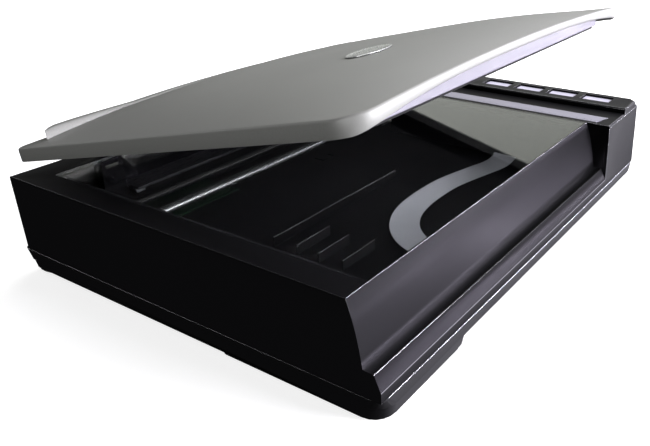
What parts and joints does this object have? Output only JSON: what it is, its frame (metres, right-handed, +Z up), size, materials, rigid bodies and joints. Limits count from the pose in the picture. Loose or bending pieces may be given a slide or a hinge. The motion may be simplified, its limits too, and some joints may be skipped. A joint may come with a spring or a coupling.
{
  "type": "flatbed scanner",
  "caption": "Large-format flatbed scanner: black housing with a sloped book edge, glass platen, domed grey lid ajar on liftable hinges, and a sunk button panel.",
  "frame": {"origin": "on the table, under the middle of the housing's footprint", "axes": "+X along the book edge towards the button panel, +Y towards the lid's hinges, +Z up"},
  "size_m": [0.623, 0.491, 0.2678],
  "materials": {
    "housing_black": "fine spark texture, satin",
    "inner_black": "matt moulded",
    "lid_grey": "metallic silver-grey paint, satin",
    "badge_grey": "silver, satin",
    "lid_white": "pale lavender white, satin",
    "pad_black": "dark foam-backed sheet",
    "platen_glass": "clear, polished",
    "plated_steel": "zinc plated",
    "rod_chrome": "ground and chromed",
    "rubber_black": "matt",
    "circuit_green": "solder mask green",
    "nylon_white": "natural nylon",
    "calibration_white": "matt white",
    "guide_strip_grey": "satin grey film",
    "cable_grey": "ribbed grey jacket",
    "lamp_glass": "frosted white tube",
    "mirror_silver": "front-silvered",
    "indicator_green": "translucent green"
  },
  "bodies": {
    "base": {"lower_housing": "housing_black", "upper_housing": "housing_black", "power_inlet": "housing_black", "hinge_socket_left": "inner_black", "hinge_socket_right": "inner_black", "rod_holder_left": "inner_black", "rod_holder_right": "inner_black", "home_sensor": "inner_black", "platen_glass": "platen_glass", "support_rail": "plated_steel", "rear_stiffener": "plated_steel", "idler_bracket": "plated_steel", "stepper_motor": "plated_steel", "motor_bracket": "plated_steel", "usb_socket": "plated_steel", "guide_rod": "rod_chrome", "foot_front_right": "rubber_black", "foot_back_right": "rubber_black", "foot_pad_front_left": "rubber_black", "foot_pad_back_left": "rubber_black", "drive_belt": "rubber_black", "main_board": "circuit_green", "button_board": "circuit_green", "cable_header": "nylon_white", "calibration_strip": "calibration_white", "size_guide_strip": "guide_strip_grey", "ribbon_cable": "cable_grey", "status_light": "indicator_green"},
    "hinge_posts": {"hinge_post_left": "inner_black", "hinge_post_right": "inner_black", "hinge_pin_left": "plated_steel", "hinge_pin_right": "plated_steel"},
    "lid": {"lid_shell": "lid_grey", "lid_hinge_cover": "lid_grey", "lid_liner": "lid_white", "document_pad": "pad_black", "lid_badge": "badge_grey", "lid_stop_left": "rubber_black", "lid_stop_right": "rubber_black", "hinge_leaf_left": "plated_steel", "hinge_leaf_right": "plated_steel"},
    "carriage": {"carriage_housing": "inner_black", "carriage_cover": "inner_black", "lamp_front": "lamp_glass", "lamp_rear": "lamp_glass", "mirror_upper": "mirror_silver", "mirror_lower": "mirror_silver", "lens_barrel": "housing_black", "sensor_board": "circuit_green", "rod_bushing": "nylon_white", "belt_clamp": "inner_black", "carriage_glide": "nylon_white"},
    "drive_pulley": {"drive_pulley": "nylon_white"},
    "idler_pulley": {"idler_pulley": "nylon_white"},
    "power_switch": {"power_switch": "housing_black"},
    "transport_lock": {"transport_lock": "inner_black"},
    "button_1": {"button_1": "lid_white"},
    "button_2": {"button_2": "lid_white"},
    "button_3": {"button_3": "lid_white"},
    "button_4": {"button_4": "lid_white"}
  },
  "joints": [
    {"name": "hinge_lift", "type": "slide", "parent": "base", "child": "hinge_posts", "axis": [0, 0, 1], "range_m": [-0.0146, 0.0104]},
    {"name": "lid_hinge", "type": "hinge", "parent": "hinge_posts", "child": "lid", "pos_m": [0, 0.236, 0.132], "axis": [-1, 0, 0], "range_deg": [-13.85, 61]},
    {"name": "carriage_travel", "type": "slide", "parent": "base", "child": "carriage", "axis": [-1, 0, 0], "range_m": [0, 0.455], "deforming": ["ribbon_cable"]},
    {"name": "drive_pulley_spin", "type": "hinge", "parent": "base", "child": "drive_pulley", "pos_m": [0.29, 0.155, 0.06], "axis": [0, 1, 0], "continuous": true},
    {"name": "idler_pulley_spin", "type": "hinge", "parent": "base", "child": "idler_pulley", "pos_m": [-0.285, 0.155, 0.06], "axis": [0, 1, 0], "continuous": true},
    {"name": "power_rocker", "type": "hinge", "parent": "base", "child": "power_switch", "pos_m": [-0.24, 0.241, 0.0505], "axis": [-1, 0, 0], "range_deg": [0, 12]},
    {"name": "transport_lock_slide", "type": "slide", "parent": "base", "child": "transport_lock", "axis": [1, 0, 0], "range_m": [0, 0.011]},
    {"name": "button_1_press", "type": "slide", "parent": "base", "child": "button_1", "axis": [0, 0, -1], "range_m": [0, 0.0012], "stiffness_N_per_m": 400, "springref_m": -0.0008},
    {"name": "button_2_press", "type": "slide", "parent": "base", "child": "button_2", "axis": [0, 0, -1], "range_m": [0, 0.0012], "stiffness_N_per_m": 400, "springref_m": -0.0008},
    {"name": "button_3_press", "type": "slide", "parent": "base", "child": "button_3", "axis": [0, 0, -1], "range_m": [0, 0.0012], "stiffness_N_per_m": 400, "springref_m": -0.0008},
    {"name": "button_4_press", "type": "slide", "parent": "base", "child": "button_4", "axis": [0, 0, -1], "range_m": [0, 0.0012], "stiffness_N_per_m": 400, "springref_m": -0.0008}
  ],
  "couplings": [
    {"joint": "drive_pulley_spin", "follows": "carriage_travel", "rad_per_m": -109.89},
    {"joint": "idler_pulley_spin", "follows": "carriage_travel", "rad_per_m": -109.89}
  ]
}
